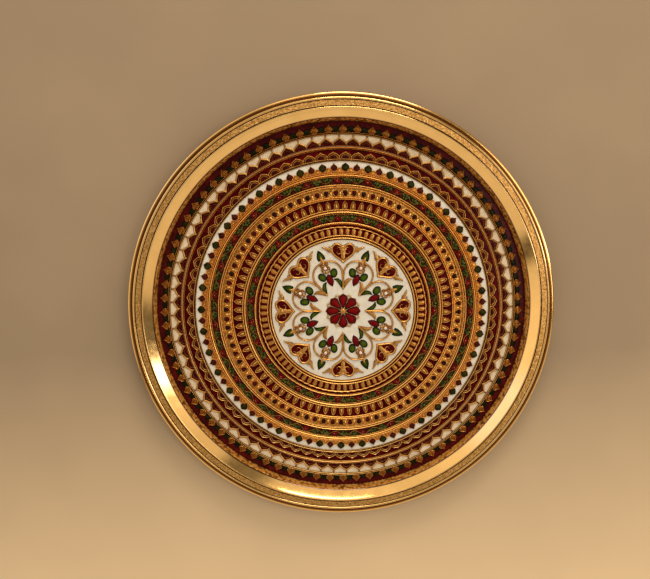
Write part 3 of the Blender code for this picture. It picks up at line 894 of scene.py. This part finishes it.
def make_lace():
    """Fine double border and arches of two lines around a red core, with posts between them."""
    gold = Relief()
    gold.add_rings((107.7, 0.8, 0.8), (108.85, 1.1, 1.1))
    arch = [
        (0.5, 110.4), (0.455, 111.2), (0.37, 112.0), (0.25, 112.7), (0.12, 113.15), (0.0, 113.8),
    ]
    line = festoon([*[(-share, radius) for share, radius in arch], *arch[-2:0:-1]])
    gold.add(sweep(line, 0.85, 1.2, closed=True), 1, MAIN_PHASE)
    bed = pitched(both([(0.46, 109.3), *arch[1:]]))
    Relief().add(dome(bed, 0.4, centre=(0.0, 110.8), steps=FLAT_DOME), MOTIFS, MAIN_PHASE).build(
        "lace_beds", BROWN_GILT, "gilt_relief"
    )
    inner = motif([
        (0.36, 109.3), (0.33, 110.4), (0.2, 111.5), (0.0, 112.2), (0.0, 112.2),
    ], closed=False)
    gold.add(sweep(inner, 0.7, 1.15), MOTIFS, MAIN_PHASE, 0.04)
    post = sweep([(0.0, 109.0), (0.0, 110.0), (0.0, 111.2)], [1.1, 0.7, 0.4], 1.1)
    gold.add(post, MOTIFS, BETWEEN, 0.05)
    gold.build("lace_gold", OLIVE_GILT, "gilt_relief", "lace_arches")
    core = motif([(0.0, 109.4), (0.25, 109.6), (0.24, 110.5), (0.13, 111.2), (0.0, 111.5)])
    red = Relief()
    red.add(dome(core, 0.75, centre=(0.0, 110.4), steps=FLAT_DOME), MOTIFS, MAIN_PHASE, 0.04)
    red.add(oval(0.0, 114.7, 0.8, 0.5, 0.55, 10), MOTIFS, BETWEEN, 0.5)
    red.build("lace_cores", DARK_RED, "dark_red_enamel")


def make_crowns():
    """A ridge, and pointed crowns whose slim tips cross the white ring."""
    gold = Relief()
    gold.add_rings((115.9, 0.8, 1.0), (116.9, 1.2, 1.1), (118.0, 0.6, 1.0))
    gold.build("ridge_gold", GILT, "gilt_relief", "crowns")
    half = [
        (0.5, 119.5), (0.45, 120.3), (0.36, 121.0), (0.25, 121.7), (0.13, 122.4), (0.0, 123.3),
    ]
    edge = motif(half, closed=False)
    lines = Relief()
    lines.add(sweep(edge, 1.25, 1.05), MOTIFS, CROWN_PHASE, 0.06)
    arc = motif([(0.3, 118.4), (0.25, 119.6), (0.1, 120.5), (0.0, 120.7)], closed=False)
    lines.add(sweep(arc, 0.5, 1.0), MOTIFS, CROWN_PHASE, 0.06)
    stud = oval(0.0, 119.2, 0.7, 0.8, 0.8, 10)
    lines.add(stud, MOTIFS, CROWN_PHASE + PITCH / 2, 0.06)
    spire = pitched(both([
        (0.0, 122.2), (0.13, 122.7), (0.08, 123.4), (0.045, 124.2), (0.08, 124.8), (0.05, 125.3),
        (0.0, 125.7),
    ]))
    lines.add(dome(spire, 0.8, centre=(0.0, 124.0)), MOTIFS, CROWN_PHASE, 0.06)
    lines.build("crown_lines", BROWN_GILT, "gilt_relief")
    core = motif([(0.5, 118.2), (0.5, 119.6), *half[1:5], (0.0, 122.3)])
    Relief().add(dome(core, 0.5, centre=(0.0, 120.2), steps=FLAT_DOME), MOTIFS, CROWN_PHASE).build(
        "crown_cores", DARK_RED, "dark_red_enamel"
    )


def make_buds():
    """A fine border and pointed gold buds with dark green cells between them."""
    border = Relief()
    border.add_rings((126.1, 1.0, 1.1), (127.2, 0.9, 1.1, 1.5, 0.3))
    border.build("bud_border", OLIVE_GILT, "gilt_relief", "outer_buds")
    edge = motif([
        (0.12, 127.4), (0.07, 127.9), (0.17, 128.4), (0.26, 129.2), (0.22, 130.1), (0.13, 130.9),
        (0.06, 131.5), (0.0, 132.6), (0.0, 132.6),
    ], closed=False)
    gold = Relief()
    gold.add(dome(edge, 0.75, centre=(0.0, 129.6), steps=FLAT_DOME), MOTIFS, BUD_PHASE, 0.1)
    gold.add(sweep(edge, 0.85, 1.15), MOTIFS, BUD_PHASE, 0.05)
    vein_widths = [0.3, 0.6, 0.65, 0.65, 0.55, 0.4, 0.15]
    for side in (-1, 0, 1):
        places = [(0.03 * side, 128.1), (0.13 * side, 129.3), (0.07 * side, 130.4), (0.0, 131.5)]
        vein = pitched(curved(places, steps=2))
        gold.add(sweep(vein, vein_widths, 0.95), MOTIFS, BUD_PHASE, 0.05)
    gold.build("bud_gold", BUD_GILT, "gilt_relief")
    cell = motif([(0.0, 127.5), (0.24, 127.8), (0.31, 129.0), (0.25, 130.6), (0.0, 131.6)])
    Relief().add(dome(cell, 0.75), MOTIFS, BUD_PHASE + PITCH / 2, 0.2).build(
        "bud_leaves", DARK_DROP, "dark_green_enamel"
    )


# Medallion

def make_rosette():
    """Eight folded red petals with fine gold edges, a gold boss and dots between the tips."""
    petal = curved(both([
        (0.0, 1.8), (0.0, 1.8), (1.4, 3.6), (2.4, 6.0), (3.35, 8.4), (3.6, 9.7), (2.85, 11.1),
        (1.25, 12.2), (0.0, 13.0), (0.0, 13.0),
    ]), closed=True, steps=2)
    red = Relief()
    red.add(dome(petal * [0.985, 1.0], 1.0, centre=(0.0, 8.2), steps=SOFT_DOME), SECTORS)
    fold = both([(0.0, 3.2), (0.9, 5.2), (1.35, 7.4), (0.8, 9.4), (0.0, 10.6)])
    red.add(dome(curved(fold, closed=True, steps=2), 0.5, base=3.05), SECTORS)
    red.build("rosette_petals", PETAL, "red_enamel", "rosette")
    lines = Relief()
    lines.add(sweep(petal * [1.02, 1.0], 0.16, 0.4, closed=True, section=FLAT_WIRE), SECTORS)
    lines.build("rosette_lines", FIELD_GILT, "gilt_relief")
    gold = Relief()
    gold.add(dome(circle(2.2, 24), 2.0))
    gold.add(dome(circle(1.2, 16), 2.4))
    gold.add(oval(0.0, 2.1, 0.42, 0.42, 1.5, 8), 10)
    gold.build("rosette_gold", MEDAL_GILT_SHADED, "gilt_relief", "centre_boss")
    dots = Relief()
    dots.add_in_arches(
        oval(0.0, 12.2, 1.0, 0.9, 0.9),
        oval(1.5, 11.4, 0.5, 0.8, 0.8, 10, 30.0),
        oval(-1.5, 11.4, 0.5, 0.8, 0.8, 10, -30.0),
    )
    dots.build("rosette_dots", OLIVE_GILT, "gilt_relief")


def make_arcade():
    """The gold wire of eight ogee arches around the rosette, with a stud at each foot."""
    arch = curved(both([
        (6.75, 16.6), (7.6, 18.6), (8.75, 21.6), (10.0, 25.0), (10.75, 28.6), (10.3, 31.9),
        (8.9, 34.6), (6.7, 36.7), (4.0, 37.9), (1.6, 38.3), (0.0, 38.9), (0.0, 38.9),
    ]), steps=3)
    gold = Relief()
    gold.add(sweep(arch, 1.75, 1.2, section=FOOTED), SECTORS, ARCH_PHASE)
    gold.add(oval(0.0, 17.0, 0.9, 1.2, 1.1), SECTORS)
    gold.build("arcade_gold", MEDAL_GILT_SHADED, "gilt_relief", "ogee_arcade")


def make_sprays():
    """In each arch: a red bud, two round leaves, a gold knot with a pearl, and foot leaves."""
    gold = Relief()
    curl = np.array([(0.5, 30.0), (2.5, 31.2), (3.1, 33.4), (1.9, 34.8)])
    top = np.array([(0.6, 35.0), (2.4, 35.4), (2.7, 36.9), (1.2, 37.3)])
    for side in (-1, 1):
        gold.add_in_arches(
            sweep(curved(curl * [side, 1]), 1.1, 1.15, section=FOOTED),
            sweep(curved(top * [side, 1]), 1.1, 1.15, section=FOOTED),
            oval(2.0 * side, 33.0, 0.8, 0.9, 1.3, 10),
            oval(1.5 * side, 36.2, 0.75, 0.75, 1.3, 10),
        )
    gold.add_in_arches(
        oval(0.0, 33.9, 1.7, 1.7, 1.2, 16),
        oval(0.0, 31.0, 1.1, 1.4, 1.1),
        oval(0.0, 37.2, 0.9, 1.2, 1.2),
        dome(both([(1.6, 38.9), (0.9, 41.2), (0.0, 43.8)]), 1.15, centre=(0.0, 40.4)),
    )
    path = np.array([(2.9, 24.4), (4.9, 23.2), (6.0, 21.2), (6.2, 18.7), (5.8, 15.9)])
    widths = [0.6, 2.4, 3.1, 2.6, 0.5]
    heights = [0.5, 0.9, 1.0, 0.9, 0.5]
    feet = {side: sweep(path * [side, 1], widths, heights) for side in (-1, 1)}
    for side in (-1, 1):
        gold.add(feet[side], SECTORS // 2, ARCH_PHASE)
    gold.build("spray_gold", MEDAL_GILT_SHADED, "gilt_relief", *numbered("spray"))

    green = Relief()
    for side in (-1, 1):
        leaf = ellipse(4.5 * side, 28.5, 2.8, 3.7, 27.0 * side, 18)
        green.add(dome(leaf, 1.0, steps=SOFT_DOME), SECTORS, ARCH_PHASE)
        green.add(feet[side], SECTORS // 2, ARCH_PHASE + SECTOR)
    green.build("spray_leaves", LEAF, "green_enamel")

    bud = curved(both([
        (0.0, 19.4), (0.0, 19.4), (1.7, 21.6), (2.55, 24.0), (2.1, 26.8), (0.9, 29.0),
    ]), closed=True)
    Relief().add(dome(bud, 1.1, centre=(0.0, 24.6), steps=SOFT_DOME), SECTORS, ARCH_PHASE).build(
        "spray_buds", BUD_RED, "red_enamel"
    )
    bead = dome(ellipse(0.0, 33.9, 1.1, 1.1, 0.0, 18), 1.4, base=3.3)
    Relief().add(bead, SECTORS, ARCH_PHASE).build("pearls", PEARL, "pearl", *numbered("pearl"))

    tip = curved(both([
        (1.2, 40.4), (1.2, 40.4), (2.7, 40.0), (3.1, 41.8), (2.6, 44.2), (1.3, 46.6), (0.0, 48.3),
        (0.0, 48.3),
    ]), steps=2)
    Relief().add(dome(tip, 0.9, centre=(0.0, 42.8), steps=SOFT_DOME), SECTORS, ARCH_PHASE).build(
        "leaf_tips", LEAF, "green_enamel", *numbered("leaf_tip")
    )


def make_hearts():
    """Gold-framed red hearts with a gold scroll in the middle and wings."""
    outline = curved(both([
        (0.0, 36.1), (0.0, 36.1), (2.2, 38.1), (5.2, 40.2), (7.4, 42.4), (8.1, 44.8), (7.6, 47.2),
        (5.6, 48.9), (3.3, 48.8), (1.5, 47.7), (0.0, 46.9), (0.0, 46.9),
    ]), closed=True, steps=2)
    Relief().add(dome(outline, 0.75, centre=(0.0, 43.4), steps=FLAT_DOME), SECTORS).build(
        "heart_fields", BUD_RED, "red_enamel"
    )
    gold = Relief()
    gold.add(sweep(outline, 2.2, 1.2, closed=True, section=FOOTED), SECTORS)
    middle = curved(both([
        (0.0, 37.2), (1.5, 39.2), (1.3, 40.8), (2.0, 42.6), (1.8, 44.2), (2.7, 45.8), (1.8, 47.4),
        (0.0, 46.6),
    ]), closed=True, steps=2)
    gold.add(dome(middle, 1.0, centre=(0.0, 43.2), steps=FLAT_DOME), SECTORS)
    wing = np.array([(7.9, 45.3), (9.6, 44.7), (11.6, 45.2), (13.6, 46.2), (15.6, 46.6)])
    curl = [(1.4, 42.6), (3.4, 41.9), (4.7, 43.2), (4.0, 44.3)]
    for side in (-1, 1):
        line = curved(wing * [side, 1], steps=2)
        along = np.linspace(0, 1, len(line))
        widths = np.interp(along, [0, 0.35, 0.7, 1], [1.2, 2.6, 1.8, 0.2])
        gold.add(sweep(line, widths, 1.05), SECTORS)
        under = [(8.0, 43.9), (9.6, 43.3), (11.4, 43.5)]
        gold.add(tapered(under, side, 1.4, 0.2, 0.95), SECTORS)
        over = [(8.2, 46.4), (9.6, 46.9), (10.8, 46.8)]
        gold.add(tapered(over, side, 1.4, 0.2, 0.95), SECTORS)
        gold.add(oval(1.35 * side, 46.3, 0.9, 0.9, 1.4), SECTORS)
        gold.add(tapered(curl, side, 1.1, 0.5, 1.0), SECTORS)
        loop = [(1.7, 47.0), (3.6, 46.6), (4.6, 47.4)]
        gold.add(tapered(loop, side, 1.1, 0.5, 1.0), SECTORS)
    gold.add(oval(0.0, 44.6, 1.2, 1.2, 1.45, 14), SECTORS)
    gold.add(oval(0.0, 41.4, 0.7, 1.0, 1.25), SECTORS)
    gold.add(oval(0.0, 39.2, 0.55, 0.9, 1.2, 10), SECTORS)
    gold.build("hearts_gold", MEDAL_GILT_SHADED, "gilt_relief", *numbered("heart"))


# Stage, light and camera

# Half the side of the floor, in metres
FLOOR_REACH = 20

# Brightness of the studio's walls at azimuths clockwise from +Y
WALLS = [
    (6, 1.1), (27, 1.0), (33, 0.3), (45, 0.22), (49, 1.0), (62, 1.1), (74, 1.5), (79, 4.3),
    (84.5, 4.3), (87.5, 0.35), (91, 0.2), (100, 0.22), (107, 1.0), (140, 1.0), (200, 1.0),
    (235.5, 1.05), (238.5, 0.15), (243, 0.15), (246.5, 1.1), (264, 1.35), (276, 1.45),
    (286, 1.75), (300, 1.75), (320, 1.3), (335, 1.1), (350, 1.1),
]
# Walls that are brighter than DAYLIGHT_LEVEL are lit by daylight, and the others by lamps
DAYLIGHT_LEVEL = 1.6
DAYLIGHT = (0.82, 0.90, 1.18)
LAMPLIGHT = (0.88, 0.82, 0.72)
# Share of the walls in what is seen at an elevation; the rest is the ceiling
CEILING = [(0, 0.5), (8, 0.7), (15, 1.0), (42, 1.0), (60, 0.0), (90, 0.0)]
CEILING_COLOUR = (0.42, 0.38, 0.32)
STUDIO_STRENGTH = 0.98

# Name, azimuth, elevation, distance, width and height in metres, and radiance
LIGHTS = [
    ("top_light", 4, 56, 1.2, 0.6, 0.3, 2.3),
    ("low_light", 9, 25, 1.2, 0.58, 0.28, 13.5),
    ("side_light", 83, 30, 1.2, 0.12, 0.4, 4.5),
    ("small_light", 82, 62, 1.3, 0.5, 0.4, 3.6),
]
LIGHT_COLOUR = (1.0, 0.96, 0.94)

# Camera, placed in metres
EYE = (-0.0164, 0.0734, 0.4548)
TARGET = (0.0, 0.0, 0.002)
SENSOR_WIDTH = 36.0
# Focal length and width of the picture, both in pixels
FOCAL_PIXELS = 623.7
PICTURE_PIXELS = 650
SHIFT_X = -0.0278
SHIFT_Y = 0.0329


def make_stage():
    """A plain pale floor, with painted light that makes it lighter towards the near edge."""
    reach = FLOOR_REACH
    corners = [(-reach, -reach, 0), (reach, -reach, 0), (reach, reach, 0), (-reach, reach, 0)]
    mesh = bpy.data.meshes.new("floor")
    mesh.from_pydata(corners, [], [(0, 1, 2, 3)])
    floor = bpy.data.objects.new("floor", mesh)
    SCENE.collection.objects.link(floor)
    surface = Surface("floor_painted_light", 0.0, 0.2)
    # painted light: the floor grows lighter towards its near edge
    surface.colours(
        surface.mixed(surface.noise(180.0, 3.0), surface.near_edge(-240.0, -30.0), 0.75),
        (0.12, (0.295, 0.198, 0.106)),
        (0.88, (0.74, 0.50, 0.255)),
    )
    surface.shader.inputs["Roughness"].default_value = 0.7
    mesh.materials.append(surface.material)


def make_world():
    """A soft studio: walls with brighter and darker stretches, under a dim ceiling."""
    world = bpy.data.worlds.new("studio")
    SCENE.world = world
    world.use_nodes = True
    tree = world.node_tree
    background = tree.nodes["Background"]
    direction = new_node(tree, "TexCoord").outputs["Generated"]
    turn = new_node(tree, "TexGradient", gradient_type="RADIAL")
    tree.links.new(direction, turn.inputs["Vector"])
    walls = new_node(tree, "ValToRGB")
    walls.color_ramp.interpolation = "EASE"
    stops = []
    for azimuth, level in WALLS:
        tint = DAYLIGHT if level > DAYLIGHT_LEVEL else LAMPLIGHT
        stops.append((((270 - azimuth) / 360) % 1, [level * share for share in tint]))
    fill_ramp(walls, sorted(stops))
    tree.links.new(turn.outputs["Fac"], walls.inputs["Fac"])

    split = new_node(tree, "SeparateXYZ")
    tree.links.new(direction, split.inputs["Vector"])
    rise = new_node(tree, "ValToRGB")
    rise.color_ramp.interpolation = "EASE"
    fill_ramp(rise, [
        (math.sin(math.radians(elevation)), (share, share, share)) for elevation, share in CEILING
    ])
    tree.links.new(split.outputs["Z"], rise.inputs["Fac"])

    blend = new_node(tree, "Mix", data_type="RGBA")
    blend.inputs["A"].default_value = (*CEILING_COLOUR, 1.0)
    tree.links.new(rise.outputs["Color"], blend.inputs["Factor"])
    tree.links.new(walls.outputs["Color"], blend.inputs["B"])
    tree.links.new(blend.outputs["Result"], background.inputs["Color"])
    background.inputs["Strength"].default_value = STUDIO_STRENGTH


def make_lights():
    """Area lights that face the middle of the plate."""
    for name, azimuth, elevation, distance, width, height, radiance in LIGHTS:
        turn = math.radians(azimuth)
        rise = math.radians(elevation)
        place = distance * Vector(
            (math.sin(turn) * math.cos(rise), math.cos(turn) * math.cos(rise), math.sin(rise))
        )
        data = bpy.data.lights.new(name, "AREA")
        data.shape = "RECTANGLE"
        data.size, data.size_y = width, height
        data.energy = radiance * math.pi * width * height
        data.color = LIGHT_COLOUR
        light = bpy.data.objects.new(name, data)
        light.location = place
        light.rotation_mode = "QUATERNION"
        light.rotation_quaternion = (-place).to_track_quat("-Z", "Y")
        light.visible_camera = False
        SCENE.collection.objects.link(light)


def make_camera():
    """The camera above the plate, with +Y towards the top of the picture."""
    eye = Vector(EYE)
    data = bpy.data.cameras.new("camera")
    data.sensor_width = SENSOR_WIDTH
    data.lens = SENSOR_WIDTH * FOCAL_PIXELS / PICTURE_PIXELS
    data.shift_x = SHIFT_X
    data.shift_y = SHIFT_Y
    camera = bpy.data.objects.new("camera", data)
    back = (eye - Vector(TARGET)).normalized()
    right = Vector((0.0, 1.0, 0.0)).cross(back).normalized()
    up = back.cross(right)
    turn = Matrix((right, up, back)).transposed().to_4x4()
    camera.matrix_world = Matrix.Translation(eye) @ turn
    SCENE.collection.objects.link(camera)
    SCENE.camera = camera
    SCENE.view_settings.view_transform = "Standard"


make_stage()
make_world()
make_lights()
make_camera()
make_dish()
make_rim_bands()
make_grounds()
make_colonnade()
make_vines()
make_teeth()
make_field_drops()
make_scroll()
make_lace()
make_crowns()
make_buds()
make_rosette()
make_arcade()
make_sprays()
make_hearts()
